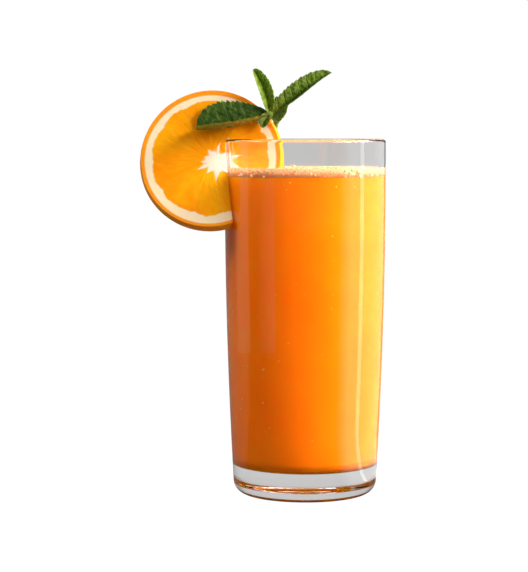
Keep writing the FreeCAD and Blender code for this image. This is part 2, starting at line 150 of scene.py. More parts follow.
seen = tree.nodes.new("ShaderNodeLightPath").outputs
glow = tree.nodes.new("ShaderNodeEmission")
been_through = math_node(tree, "GREATER_THAN", seen["Transmission Depth"], 0.5)
spot = tree.nodes.new("ShaderNodeSeparateXYZ")
tree.links.new(tree.nodes.new("ShaderNodeTexCoord").outputs["Object"], spot.inputs["Vector"])
behind_glass = math_node(tree, "GREATER_THAN", spot.outputs["Y"], 0.0)
mirrored = math_node(tree, "ADD", PAPER_IN_GLOSS, math_node(
    tree, "MULTIPLY", behind_glass, PAPER_BEHIND_IN_GLOSS - PAPER_IN_GLOSS))
gathered = math_node(tree, "GREATER_THAN", seen["Diffuse Depth"], 0.5)
mirrored = math_node(tree, "MULTIPLY", mirrored, math_node(tree, "SUBTRACT", 1.0, gathered))
through = math_node(tree, "ADD", PAPER_THROUGH_GLASS, math_node(
    tree, "MULTIPLY", gathered, PAPER_TO_JUICE - PAPER_THROUGH_GLASS))
strength = math_node(tree, "MAXIMUM", mirrored, math_node(
    tree, "MULTIPLY", been_through, through))
strength = math_node(tree, "MAXIMUM", strength, math_node(
    tree, "MULTIPLY", seen["Is Camera Ray"], PAPER_TO_CAMERA))
tree.links.new(strength, glow.inputs["Strength"])
lit = tree.nodes.new("ShaderNodeMixShader")
diffuse_share = math_node(tree, "ADD", seen["Is Diffuse Ray"], math_node(
    tree, "MULTIPLY", seen["Is Camera Ray"], SHADOW_SHARE), clamp=True)
tree.links.new(diffuse_share, lit.inputs["Fac"])
tree.links.new(glow.outputs["Emission"], lit.inputs[1])
tree.links.new(shader.outputs["BSDF"], lit.inputs[2])
tree.links.new(lit.outputs["Shader"], output.inputs["Surface"])
sweep.data.materials.append(paper)
print("studio sweep:", len(sweep_faces), "faces")

# %% [markdown]
# ### The room and the camera
# The world is the light that comes from everywhere. It could be an empty black, with lamps doing
# all the work, but then the clear glass would have black in it. So it is dim where it lights,
# and brighter where it is seen through the glass, by the same Light Path test as the paper. The
# camera stands far off with a long lens, as for a drink in an advertisement, so that the sides
# of the glass stay parallel, and about level with the rim, so that the rim closes to a line.

# %% World and camera
world = bpy.data.worlds.new("soft_room")
bpy.context.scene.world = world
world.use_nodes = True
ROOM_LIGHT, ROOM_THROUGH_GLASS, ROOM_TO_JUICE = 0.09, 0.50, 0.08
background = world.node_tree.nodes["Background"]
background.inputs["Color"].default_value = (1.0, 0.97, 0.94, 1)
seen = world.node_tree.nodes.new("ShaderNodeLightPath").outputs
been_through = math_node(world.node_tree, "GREATER_THAN", seen["Transmission Depth"], 0.5)
gathered = math_node(world.node_tree, "GREATER_THAN", seen["Diffuse Depth"], 0.5)
beyond = math_node(world.node_tree, "ADD", ROOM_THROUGH_GLASS - ROOM_LIGHT, math_node(
    world.node_tree, "MULTIPLY", gathered, ROOM_TO_JUICE - ROOM_THROUGH_GLASS))
through = math_node(world.node_tree, "MULTIPLY", been_through, beyond)
world.node_tree.links.new(math_node(world.node_tree, "ADD", through, ROOM_LIGHT),
                          background.inputs["Strength"])
bpy.context.scene.view_settings.view_transform = "Standard"

CAMERA_DISTANCE = 0.88
CAMERA_ABOVE_RIM = 0.004
CAMERA_SIDE = -0.0185
AIM_BELOW_RIM = 0.0662
FOCAL_MM, SENSOR_MM = 123.1, 36.0

camera_data = bpy.data.cameras.new("camera")
camera_data.sensor_fit = "VERTICAL"
camera_data.sensor_height = SENSOR_MM
camera_data.lens = FOCAL_MM
camera_data.clip_start = 0.05
camera = bpy.data.objects.new("camera", camera_data)
bpy.context.scene.collection.objects.link(camera)
camera.location = (CAMERA_SIDE, -CAMERA_DISTANCE, HEIGHT + CAMERA_ABOVE_RIM)
aim = Vector((CAMERA_SIDE, 0, HEIGHT - AIM_BELOW_RIM))
camera.rotation_euler = (aim - camera.location).to_track_quat("-Z", "Y").to_euler()
bpy.context.scene.camera = camera
print("camera at", [round(value, 3) for value in camera.location])

# %% [markdown]
# The camera looks down on the drink a little, so an upright wall mirrors what stands low round
# it, and nothing above. High softboxes can therefore light the juice without showing in the
# glass, and low cards can show in the glass without lighting much. A mirrored card lies at half
# its angle round the glass: a card at 90 degrees makes a streak 45 degrees round.

# %% Softboxes


def softbox(name, angle, distance, width, low, high, power, tint=(1, 1, 1)):
    """A rectangular area light that faces the middle of the drink. The angle is in degrees,
    from the camera's side, positive to the camera's right."""
    data = bpy.data.lights.new(name, "AREA")
    data.shape = "RECTANGLE"
    data.size = width
    data.size_y = high - low
    data.energy = power
    data.color = tint
    lamp = bpy.data.objects.new(name, data)
    bpy.context.scene.collection.objects.link(lamp)
    turn = math.radians(angle)
    lamp.location = (distance * math.sin(turn), -distance * math.cos(turn), (low + high) / 2)
    facing = Vector((0, 0, HEIGHT * 0.6)) - lamp.location
    lamp.rotation_euler = facing.to_track_quat("-Z", "Z").to_euler()
    print(f"{name}: {power:.1f} W over {width * (high - low):.2f} square metres")
    return lamp


softbox("key_right", 80, 0.75, 0.30, 0.02, 1.15, 29.0, (1.0, 0.98, 0.95))
softbox("fill_top", -12, 0.30, 0.90, 0.85, 1.45, 3.6)
softbox("fill_left", -84, 0.70, 0.40, 0.45, 0.85, 2.7)

# %% [markdown]
# ### Cards
# The long pale streaks down a glass are mirrored panels. Area lights could make them, but each
# would also light the juice. These cards are meshes with an emission shader whose brightness is
# a value kept on their points, so one card can fade from edge to edge, and ray visibility keeps
# them out of everything except mirror reflections. The two on the right have a foot along the
# floor, because the lowest part of the wall mirrors what lies near it.

# %% Reflected cards
CARD_DISTANCE, CARD_FOOT = 0.16, 0.045


def mirrored_angle(share, distance):
    """Where a card must stand, in degrees from the camera's side, for its reflection to lie at
    a share of the glass's radius from the middle, -1 to 1."""
    steep = math.asin(share)
    return math.degrees(2 * steep - math.asin(share * RIM_RADIUS / distance))


def glow_card(name, low, high, stops, steps=48, foot=CARD_DISTANCE, distance=CARD_DISTANCE):
    """An upright curved card, with a foot that runs in along the floor, which shows only in
    what the glass mirrors. Stops are places where it is mirrored, as shares of the glass's
    radius, each with its brightness there."""
    first, last = stops[0][0], stops[-1][0]
    shares = [first + (last - first) * k / steps for k in range(steps + 1)]
    turns = [math.radians(mirrored_angle(share, distance)) for share in shares]
    points = [(reach * math.sin(t), -reach * math.cos(t), z) for t in turns
              for reach, z in ((foot, low), (distance, low), (distance, high))]
    faces = [(3 * k + j, 3 * k + j + 1, 3 * k + j + 4, 3 * k + j + 3)
             for k in range(steps) for j in (0, 1) if j or foot < distance]
    card = mesh_object(name, points, faces)
    brightness = card.data.attributes.new("brightness", "FLOAT", "POINT")
    for index in range(len(points)):
        share, level = shares[index // 3], stops[0][1]
        for (before, dim), (after, bright) in zip(stops, stops[1:]):
            if share > before:
                level = dim + (bright - dim) * min(1.0, (share - before) / (after - before))
        brightness.data[index].value = level
    material, tree, shader, output = node_material(name)
    level = tree.nodes.new("ShaderNodeAttribute")
    level.attribute_name = "brightness"
    glow = tree.nodes.new("ShaderNodeEmission")
    glow.inputs["Color"].default_value = (1.0, 0.98, 0.95, 1)
    tree.links.new(level.outputs["Fac"], glow.inputs["Strength"])
    tree.links.new(glow.outputs["Emission"], output.inputs["Surface"])
    card.data.materials.append(material)
    for way in ("camera", "transmission", "shadow", "diffuse"):
        setattr(card, "visible_" + way, False)
    return card


glow_card("card_right", 0.002, 0.20, [(0.40, 0.0), (0.55, 1.75), (0.75, 1.5), (0.97, 1.0)],
          foot=CARD_FOOT)
glow_card("card_streak", 0.003, 0.20, [(0.668, 4.4), (0.715, 4.4)], steps=8, foot=CARD_FOOT,
          distance=CARD_DISTANCE - 0.002)
glow_card("card_left_far", 0.045, 0.20, [(-0.86, 0.45), (-0.705, 0.5)])
glow_card("card_left_near", 0.045, 0.20, [(-0.60, 0.05), (-0.40, 0.45), (-0.385, 0.45)])
print("cards at", CARD_DISTANCE, "m")

# %% [markdown]
# ## The tumbler
# A tumbler is pressed or blown round an axis, so half of its cut, spun once, is the whole of it.
# Blender's Screw modifier or Spin could do the spinning; a short loop of rings does it too, and
# lets the poles close in a fan of triangles. The wall's inside and outside are one closed skin,
# because light bends where it enters glass and again where it leaves.

# %% Lathe
SHOULDER_DROP = 21 * MM
FLANK_BEND = 2350 * MM
FOOT_CORNER = 6 * MM
FLOOR_CORNER = 5 * MM
AROUND = 192


def arc_points(centre, radius, first, last, steps):
    """Points on an arc in the (radius, height) plane, angles in degrees."""
    angles = [math.radians(first + (last - first) * k / steps) for k in range(steps + 1)]
    return [(centre[0] + radius * math.cos(a), centre[1] + radius * math.sin(a)) for a in angles]


def lathe(name, outline, around=AROUND):
    """Spin an outline, from one point on the axis to another, into a closed skin."""
    rings = outline[1:-1]
    points = [(0, 0, outline[0][1]), (0, 0, outline[-1][1])]
    turns = [2 * math.pi * k / around for k in range(around)]
    points += [(r * math.cos(t), r * math.sin(t), z) for r, z in rings for t in turns]
    faces = []
    for k in range(around):
        after = (k + 1) % around
        faces.append((0, 2 + after, 2 + k))
        for ring in range(len(rings) - 1):
            low, high = 2 + ring * around, 2 + (ring + 1) * around
            faces.append((low + k, low + after, high + after, high + k))
        last = 2 + (len(rings) - 1) * around
        faces.append((1, last + k, last + after))
    return mesh_object(name, points, faces)


def drop_repeats(outline):
    """An outline without points that lie on one another."""
    kept = [outline[0]]
    for point in outline[1:]:
        if math.dist(point, kept[-1]) > 1e-6:
            kept.append(point)
    return kept


shoulder = HEIGHT - SHOULDER_DROP
flank_centre = (RIM_RADIUS - FLANK_BEND, shoulder)


def corner_place(bend, corner, level):
    """Where a corner's centre lies, and the angle at which it meets the flank's curve."""
    rise = shoulder - level - corner
    across = math.sqrt((bend - corner) ** 2 - rise ** 2)
    return (flank_centre[0] + across, level + corner), -math.degrees(math.atan2(rise, across))


# closer together towards the lip, so that the lip's round doesn't bend the wall's shading
STRAIGHT_STEPS = (0.25, 0.5, 0.75, 0.9, 0.97, 1.0)


def inner_outline(inset=0.0, top=HEIGHT):
    """The inside of the glass from the middle of its floor up to a height."""
    bend = FLANK_BEND - WALL - inset
    corner, meets = corner_place(bend, FLOOR_CORNER, FLOOR + inset)
    points = [(0, FLOOR + inset)]
    points += [(corner[0] * share, FLOOR + inset) for share in (0.3, 0.6, 0.9, 0.985)]
    points += arc_points(corner, FLOOR_CORNER, -90, meets, 10)
    points += arc_points(flank_centre, bend, meets, 0, 24)
    points += [(BORE - inset, shoulder + (top - shoulder) * share) for share in STRAIGHT_STEPS]
    return drop_repeats(points)


# %% [markdown]
# The outline runs from the middle of the underside, round the foot, up the bowed flank and over
# the lip, then down the inside to the middle of the floor. The flank is an arc of a very large
# circle that meets the straight rim smoothly. Extra rings near the lip are there only for
# smooth shading: next to a tight curve, one long face would be shaded as if it were bent, and
# bent glass moves whatever is seen through it.

# %% Tumbler mesh
foot_centre, foot_meets = corner_place(FLANK_BEND, FOOT_CORNER, 0.0)
lip_centre = (RIM_RADIUS - WALL / 2, HEIGHT - WALL / 2)
straight = lip_centre[1] - shoulder
outside = [(0, 0)] + [(foot_centre[0] * share, 0) for share in (0.3, 0.6, 0.9, 0.985)]
outside += arc_points(foot_centre, FOOT_CORNER, -90, foot_meets, 12)
outside += arc_points(flank_centre, FLANK_BEND, foot_meets, 0, 24)
outside += [(RIM_RADIUS, shoulder + straight * share) for share in STRAIGHT_STEPS]
outside += arc_points(lip_centre, WALL / 2, 0, 180, 18)
inside = inner_outline(top=HEIGHT - WALL / 2)
tumbler = lathe("tumbler", drop_repeats(outside + inside[::-1]))
print("tumbler:", len(tumbler.data.polygons), "faces")

# %% [markdown]
# Clear glass is a Principled shader that transmits everything. Its colour is a shade under
# white, as in thick soda glass, so that each pass through the wall greys the view a little.
# Light could reach the juice through it by chance paths alone, which is noisy, so rays that
# only ask whether a lamp is visible pass straight through.

# %% Glass material
clear_glass, tree, shader, output = node_material("clear_glass")
set_inputs(shader, Base_Color=(0.93, 0.93, 0.925, 1), Roughness=0.0, IOR=1.5,
           Transmission_Weight=1.0)
passing = tree.nodes.new("ShaderNodeBsdfTransparent")
passing.inputs["Color"].default_value = (0.93, 0.93, 0.93, 1)
path = tree.nodes.new("ShaderNodeLightPath")
either = tree.nodes.new("ShaderNodeMixShader")
tree.links.new(path.outputs["Is Shadow Ray"], either.inputs["Fac"])
tree.links.new(shader.outputs["BSDF"], either.inputs[1])
tree.links.new(passing.outputs["BSDF"], either.inputs[2])
tree.links.new(either.outputs["Shader"], output.inputs["Surface"])
tumbler.data.materials.append(clear_glass)
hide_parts("glass")
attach(tumbler, BODY)
print(clear_glass.name, "has", len(tree.nodes), "nodes")

# %% [markdown]
# ## The juice
# The juice takes the inside of the glass up to the froth. If it stopped exactly at the glass,
# the two skins would flicker, and if it stopped short a film of air would shine between them,
# so it reaches a little way into the wall.

# %% Juice mesh
INTO_WALL = 0.12 * MM
juice_level = JUICE_TOP + 0.6 * MM          # a little way up inside the froth
juice_outline = inner_outline(inset=-INTO_WALL, top=juice_level)
juice_outline += [(juice_outline[-1][0] * share, juice_level) for share in (0.6, 0.3)]
juice_outline += [(0, juice_level)]
juice = lathe("juice_filling", drop_repeats(juice_outline))
print("juice:", len(juice.data.polygons), "faces")

# %% [markdown]
# Fresh juice is cloudy: light goes in, wanders between bits of pulp and comes out a few
# millimetres away, redder the further it has been. That is subsurface scattering. One soft
# noise varies the colour a little in large swirls, on the piece's own coordinates.

# %% Juice material


def add(tree, kind, **inputs):
    """A node of a kind, with plain values on its inputs."""
    node = tree.nodes.new(kind)
    set_inputs(node, **inputs)
    return node


def noise(tree, vector, scale, detail=3.0, roughness=0.5, distortion=0.0):
    """A noise texture on a given vector."""
    node = add(tree, "ShaderNodeTexNoise", Scale=scale, Detail=detail, Roughness=roughness,
               Distortion=distortion)
    tree.links.new(vector, node.inputs["Vector"])
    return node.outputs["Fac"]


def ramp(tree, value, stops):
    """A colour ramp from (place, colour) stops."""
    node = tree.nodes.new("ShaderNodeValToRGB")
    elements = node.color_ramp.elements
    while len(elements) < len(stops):
        elements.new(0.5)
    for element, (place, colour) in zip(elements, stops):
        element.position = place
        element.color = (*colour, 1)
    tree.links.new(value, node.inputs["Fac"])
    return node.outputs["Color"]


def bump(tree, height, distance, strength=1.0, below=None):
    """A bump node, over another bump's normal if one is given."""
    node = add(tree, "ShaderNodeBump", Strength=strength, Distance=distance)
    tree.links.new(height, node.inputs["Height"])
    if below is not None:
        tree.links.new(below, node.inputs["Normal"])
    return node.outputs["Normal"]


juice_look, tree, shader, _ = node_material("orange_juice")
place = tree.nodes.new("ShaderNodeTexCoord").outputs["Object"]
swirls = noise(tree, place, 28, detail=4, roughness=0.55, distortion=0.6)
tint = ramp(tree, swirls, [(0.30, (0.92, 0.20, 0.001)), (0.70, (0.95, 0.245, 0.002))])
tree.links.new(tint, shader.inputs["Base Color"])
set_inputs(shader, Roughness=0.6, Specular_IOR_Level=0.0, Subsurface_Weight=1.0,
           Subsurface_Radius=(1.0, 0.30, 0.05), Subsurface_Scale=3 * MM)
juice.data.materials.append(juice_look)
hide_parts("juice")
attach(juice, BODY)
print(juice_look.name, "has", len(tree.nodes), "nodes")

# %% [markdown]
# ## The slice of orange
# The slice was cut from a whole fruit, so its edge is a band of the fruit's round skin, and the
# rind is a shell of one depth all round. Everything in it is easiest to describe in the slice's
# own frame: across it, up it, and out of its face. One matrix carries that frame into place.

# %% Slice frame
SLICE_RADIUS = 32.4 * MM
ORANGE_RADIUS = SLICE_RADIUS + 0.3 * MM
SLICE_HALF = 2.5 * MM
SLICE_CENTRE = Vector((-RIM_RADIUS - 6.0 * MM, -5.3 * MM, HEIGHT - 9.1 * MM))
SLICE_LEAN = math.radians(16)
SLICE_TURN = math.radians(5)
SLIT_CLEARANCE = 0.2 * MM

slice_turned = (Matrix.Rotation(-SLICE_TURN, 4, "Z")
                @ Matrix.Rotation(math.pi / 2 - SLICE_LEAN, 4, "X"))
slice_frame = Matrix.Translation(SLICE_CENTRE) @ slice_turned
print("slice frame centre:", [round(value / MM, 1) for value in SLICE_CENTRE])

# %% [markdown]
# The two faces are round grids of rings, lifted here and there by a noise that is stretched
# from the middle outwards: those are the juice sacs, which a flat disc with a bump map would
# lose in close views. The skin between the faces follows the fruit, with a dimple for each pore.

# %% Slice mesh
FACE_RINGS = 84
SLICE_AROUND = 336
SAC_LIFT = 0.16 * MM
EDGE_RINGS = 16
fruit_middle = -SLICE_HALF - math.sqrt(ORANGE_RADIUS ** 2 - SLICE_RADIUS ** 2)
front_radius = math.sqrt(ORANGE_RADIUS ** 2 - (SLICE_HALF - fruit_middle) ** 2)


def sac_relief(angle, radius, side):
    """How far the flesh stands out at a place on a face."""
    span = radius / front_radius
    long_way = Vector((math.cos(angle) * 9, math.sin(angle) * 9, span * 5 + side * 20))
    fine_way = Vector((math.cos(angle) * 26, math.sin(angle) * 26, span * 11 + side * 20))
    lift = 0.6 * field.noise(long_way) + 0.4 * field.noise(fine_way)
    return SAC_LIFT * lift * min(1.0, span * 4) * min(1.0, max(0.0, (0.86 - span) * 12))


def face_points(side, widest):
    """Rings of points over one face, from the outermost in, without the middle point."""
    rings = []
    for ring in range(FACE_RINGS):
        radius = widest * (1 - ring / FACE_RINGS)
        rings.append([Vector((radius * math.cos(a), radius * math.sin(a),
                              side * (SLICE_HALF + sac_relief(a, radius, side))))
                      for a in (2 * math.pi * k / SLICE_AROUND for k in range(SLICE_AROUND))])
    return rings


def edge_points():
    """Rings of points over the skin, from the front face to the back."""
    rings = []
    for ring in range(1, EDGE_RINGS):
        out = SLICE_HALF - 2 * SLICE_HALF * ring / EDGE_RINGS
        radius = math.sqrt(ORANGE_RADIUS ** 2 - (out - fruit_middle) ** 2)
        row = []
        for k in range(SLICE_AROUND):
            a = 2 * math.pi * k / SLICE_AROUND
            spot = Vector((math.cos(a), math.sin(a), out / radius)) * 24
            pore = 0.10 * MM * max(0.0, field.noise(spot) - 0.1)
            row.append(Vector(((radius - pore) * math.cos(a), (radius - pore) * math.sin(a), out)))
        rings.append(row)
    return rings


front, back = face_points(1, front_radius), face_points(-1, SLICE_RADIUS)
slice_rings = front[::-1] + edge_points() + back
slice_points = [point for ring in slice_rings for point in ring]
slice_points += [Vector((0, 0, SLICE_HALF)), Vector((0, 0, -SLICE_HALF))]
slice_faces = []
for ring in range(len(slice_rings) - 1):
    for k in range(SLICE_AROUND):
        after = (k + 1) % SLICE_AROUND
        here, there = ring * SLICE_AROUND, (ring + 1) * SLICE_AROUND
        slice_faces.append((here + k, there + k, there + after, here + after))
last_ring = (len(slice_rings) - 1) * SLICE_AROUND
for k in range(SLICE_AROUND):
    after = (k + 1) % SLICE_AROUND
    slice_faces.append((k, after, len(slice_points) - 2))
    slice_faces.append((last_ring + after, last_ring + k, len(slice_points) - 1))
whole_slice = mesh_object("whole_slice", [slice_frame @ p for p in slice_points], slice_faces)
print("whole slice:", len(slice_faces), "faces")

# %% [markdown]
# The slit has to fit the glass's wall, so it is cut with the wall itself, made a hair thicker.
# A Boolean modifier does that; its result is kept as a plain mesh, and the cutter is thrown away.

# %% Slit


def plain_copy(thing, name):
    """The object with its modifiers worked in, as a new mesh object."""
    graph = bpy.context.evaluated_depsgraph_get()
    mesh = bpy.data.meshes.new_from_object(thing.evaluated_get(graph))
    mesh.name = name
    finished = bpy.data.objects.new(name, mesh)
    bpy.context.scene.collection.objects.link(finished)
    return finished


def discard(thing):
    """Remove a helper object and its mesh."""
    mesh = thing.data
    bpy.data.objects.remove(thing)
    bpy.data.meshes.remove(mesh)


def wall_cutter():
    """A ring like the upper wall of the glass, wider by the slit's clearance."""
    gap, low, lip = SLIT_CLEARANCE, HEIGHT - 60 * MM, HEIGHT - WALL / 2
    section = [(BORE - gap, low), (RIM_RADIUS + gap, low)]
    section += arc_points(lip_centre, WALL / 2 + gap, 0, 180, 10)
    section = drop_repeats(section)
    turns = [2 * math.pi * k / AROUND for k in range(AROUND)]
    points = [(r * math.cos(t), r * math.sin(t), z) for t in turns for r, z in section]
    count = len(section)
    faces = [(k * count + j, ((k + 1) % AROUND) * count + j,
              ((k + 1) % AROUND) * count + (j + 1) % count, k * count + (j + 1) % count)
             for k in range(AROUND) for j in range(count)]
    return mesh_object("wall_cutter", points, faces)


cutter = wall_cutter()
cutting = whole_slice.modifiers.new("slit", "BOOLEAN")
cutting.object = cutter
cutting.operation = "DIFFERENCE"
cutting.solver = "EXACT"
orange_slice = plain_copy(whole_slice, "orange_round")
discard(whole_slice)
discard(cutter)
orange_slice.data.set_sharp_from_angle(angle=math.radians(40))
print("slit slice:", len(orange_slice.data.polygons), "faces")

# %% [markdown]
# ### Rind, pith, flesh and core
# The colours could be painted, but the parts of an orange follow simple rules: rind and pith are
# shells of the fruit's sphere, the core is a star, and thin walls run out from it. A Mapping node
# turned into a texture's own frame gives the slice's coordinates, and a little arithmetic on the
# radius and the angle gives each part, with noise to keep any edge from being perfect.

# %% Slice material


def step_between(tree, value, low, high):
    """0 below low, 1 above high, smooth between. Either end may be a socket."""
    node = tree.nodes.new("ShaderNodeMapRange")
    node.interpolation_type = "SMOOTHSTEP"
    for name, setting in (("Value", value), ("From Min", low), ("From Max", high)):
        if isinstance(setting, (int, float)):
            node.inputs[name].default_value = setting
        else:
            tree.links.new(setting, node.inputs[name])
    return node.outputs["Result"]


def blend_colours(tree, share, first, second, mode="MIX"):
    """Mix two colours or sockets."""
    node = tree.nodes.new("ShaderNodeMix")
    node.data_type = "RGBA"
    node.blend_type = mode
    if isinstance(share, (int, float)):
        node.inputs["Factor"].default_value = share
    else:
        tree.links.new(share, node.inputs["Factor"])
    for socket, colour in ((node.inputs["A"], first), (node.inputs["B"], second)):
        if isinstance(colour, tuple):
            socket.default_value = (*colour, 1)
        else:
            tree.links.new(colour, socket)
    return node.outputs["Result"]


def own_frame(tree, matrix):
    """Object coordinates seen from a frame of the piece's own."""
    source = tree.nodes.new("ShaderNodeTexCoord").outputs["Object"]
    mapping = tree.nodes.new("ShaderNodeMapping")
    mapping.vector_type = "TEXTURE"
    mapping.inputs["Location"].default_value = matrix.to_translation()
    mapping.inputs["Rotation"].default_value = matrix.to_euler()
    tree.links.new(source, mapping.inputs["Vector"])
    return mapping.outputs["Vector"]


RIND_COLOUR = (0.95, 0.27, 0.006)
PITH_COLOUR = (0.98, 0.80, 0.56)
FLESH_COLOUR = (1.0, 0.30, 0.002)
FLESH_LIGHT = (1.0, 0.40, 0.004)
RIND_DEPTH, RIND_UNEVEN = 1.7 * MM, 0.5
PITH_DEPTH = 4.5 * MM
CORE_RADIUS = 4.6 * MM
CORE_PLACE = (3.2 * MM, -1.6 * MM)
CORE_SQUEEZE = 0.70
SEGMENTS = 11

slice_look, tree, shader, _ = node_material("orange_flesh_and_rind")
local = own_frame(tree, slice_frame)
split = tree.nodes.new("ShaderNodeSeparateXYZ")
tree.links.new(local, split.inputs["Vector"])
across, up, out = (split.outputs[axis] for axis in "XYZ")


def radius_of(tree, first, second):
    """The length of a two-part vector."""
    squares = math_node(tree, "ADD", math_node(tree, "POWER", first, 2),
                        math_node(tree, "POWER", second, 2))
    return math_node(tree, "SQRT", squares)


fruit_out = math_node(tree, "SUBTRACT", out, fruit_middle)
flat_radius = radius_of(tree, across, up)
depth = math_node(tree, "SUBTRACT", ORANGE_RADIUS, radius_of(tree, flat_radius, fruit_out))
core_across = math_node(tree, "MULTIPLY", CORE_SQUEEZE, math_node(
    tree, "SUBTRACT", across, CORE_PLACE[0]))
core_up = math_node(tree, "SUBTRACT", up, CORE_PLACE[1])
core_reach = radius_of(tree, core_across, core_up)
angle = math_node(tree, "ARCTAN2", core_up, core_across)

# angle counted in segments, nudged by a noise so that no two segments are alike
wander = noise(tree, local, 45, detail=1)
uneven = math_node(tree, "MULTIPLY", math_node(tree, "SUBTRACT", wander, 0.5), 1.6)
turns = math_node(tree, "ADD", math_node(tree, "MULTIPLY", angle, SEGMENTS / (2 * math.pi)),
                  uneven)
from_wall = math_node(tree, "ABSOLUTE", math_node(
    tree, "SUBTRACT", math_node(tree, "FRACT", turns), 0.5))     # 0 at a thin wall
spike = math_node(tree, "POWER", math_node(
    tree, "SUBTRACT", 1.0, math_node(tree, "MULTIPLY", from_wall, 2.0)), 2.4)

ragged = noise(tree, local, 420, detail=3)
edge_shift = math_node(tree, "MULTIPLY", math_node(tree, "SUBTRACT", ragged, 0.5), 1.4 * MM)
pith_end = math_node(tree, "ADD", edge_shift, math_node(
    tree, "ADD", PITH_DEPTH, math_node(tree, "MULTIPLY", spike, 1.0 * MM)))
in_flesh = step_between(tree, math_node(tree, "SUBTRACT", depth, pith_end),
                        -0.25 * MM, 0.35 * MM)
# the rind is a little thicker towards the top
rind_end = math_node(tree, "ADD", RIND_DEPTH, math_node(
    tree, "MULTIPLY", up, RIND_UNEVEN * MM / SLICE_RADIUS))
in_pith = step_between(tree, math_node(tree, "SUBTRACT", depth, rind_end), -0.3 * MM, 0.4 * MM)
torn = math_node(tree, "SUBTRACT", noise(tree, local, 260, detail=2), 0.5)
reach_of_spikes = math_node(tree, "MULTIPLY", spike, math_node(
    tree, "MULTIPLY", step_between(tree, noise(tree, local, 90, detail=1), 0.25, 0.7), 4.4 * MM))
core_end = math_node(tree, "ADD", math_node(tree, "ADD", CORE_RADIUS, reach_of_spikes),
                     math_node(tree, "MULTIPLY", torn, 5.0 * MM))
in_core = math_node(tree, "MULTIPLY", 0.9, math_node(tree, "SUBTRACT", 1.0, step_between(
    tree, math_node(tree, "SUBTRACT", core_reach, core_end), -1.2 * MM, 0.5 * MM)))

# sacs: a noise stretched from the core outwards
polar = tree.nodes.new("ShaderNodeCombineXYZ")
tree.links.new(math_node(tree, "MULTIPLY", turns, 3.2), polar.inputs["X"])
tree.links.new(math_node(tree, "MULTIPLY", core_reach, 210), polar.inputs["Y"])
tree.links.new(math_node(tree, "MULTIPLY", out, 120), polar.inputs["Z"])
sacs = noise(tree, polar.outputs["Vector"], 1.0, detail=2.5)
broad = noise(tree, local, 34, detail=1.5)
flesh_mix = math_node(tree, "ADD", math_node(tree, "MULTIPLY", sacs, 0.35),
                      math_node(tree, "MULTIPLY", broad, 0.65))
flesh = blend_colours(tree, step_between(tree, flesh_mix, 0.36, 0.64), FLESH_COLOUR, FLESH_LIGHT)
membrane = math_node(tree, "MULTIPLY", 0.05, math_node(
    tree, "SUBTRACT", 1.0, step_between(tree, from_wall, 0.0, 0.05)))
flesh = blend_colours(tree, membrane, flesh, (1.0, 0.66, 0.18))
pith = blend_colours(tree, noise(tree, local, 300, detail=2), PITH_COLOUR, (0.98, 0.72, 0.42))
rind = blend_colours(tree, noise(tree, local, 60, detail=2), RIND_COLOUR, (1.0, 0.36, 0.01))
inner = blend_colours(tree, in_core, flesh, (0.96, 0.76, 0.62))
colour = blend_colours(tree, in_flesh, pith, inner)
colour = blend_colours(tree, in_pith, rind, colour)
tree.links.new(colour, shader.inputs["Base Color"])
wetness = math_node(tree, "SUBTRACT", 0.55, math_node(tree, "MULTIPLY", in_flesh, 0.30))
tree.links.new(wetness, shader.inputs["Roughness"])
set_inputs(shader, Subsurface_Weight=0.35, Subsurface_Radius=(1.0, 0.35, 0.08),
           Subsurface_Scale=2.5 * MM, Specular_IOR_Level=0.1)
pores = tree.nodes.new("ShaderNodeTexVoronoi")
pores.inputs["Scale"].default_value = 900
tree.links.new(local, pores.inputs["Vector"])
rind_only = math_node(tree, "SUBTRACT", 1.0, in_pith)
dimples = math_node(tree, "MULTIPLY", rind_only, pores.outputs["Distance"])
soft = bump(tree, math_node(tree, "MULTIPLY", sacs, in_flesh), 0.25 * MM, 0.5)
tree.links.new(bump(tree, dimples, 0.12 * MM, 0.7, below=soft), shader.inputs["Normal"])
orange_slice.data.materials.clear()
orange_slice.data.materials.append(slice_look)
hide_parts("orange_slice")
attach(orange_slice, BODY)
print(slice_look.name, "has", len(tree.nodes), "nodes")

# %% [markdown]
# ## The froth
# Shaken juice carries a few millimetres of froth, and its bubbles are largest where they climb
# the wall. The layer itself is spun like the juice, with a noise on top. The bubbles are a job
# for Geometry Nodes: points thrown at random in a ring, each given a small sphere of its own
# size, then made real, since loose instances don't leave Blender.

# %% Froth layer
FROTH_BEAD = 3 * MM
FROTH_DIP = 0.9 * MM
froth_bottom = JUICE_TOP - 0.2 * MM
dished = FROTH_TOP - FROTH_DIP
edge = BORE + INTO_WALL + 0.1 * MM          # outside the juice, which it covers
froth_outline = [(0, froth_bottom), (edge * 0.5, froth_bottom), (edge, froth_bottom)]
froth_outline += [(edge, FROTH_TOP - 0.4 * MM), (BORE - 0.6 * MM, FROTH_TOP - 0.5 * MM),
                  (BORE - 1.6 * MM, FROTH_TOP - 0.7 * MM), (BORE - FROTH_BEAD, dished)]
froth_outline += [((BORE - FROTH_BEAD) * (1 - k / 24), dished) for k in range(1, 24)]
froth_outline += [(0, dished)]
froth = lathe("froth_layer", froth_outline)
for vertex in froth.data.vertices:
    if vertex.co.z > froth_bottom + 1 * MM and vertex.co.xy.length < BORE - 0.3 * MM:
        vertex.co.z += 0.22 * MM * field.noise(vertex.co * 420)
print("froth layer:", len(froth.data.polygons), "faces")
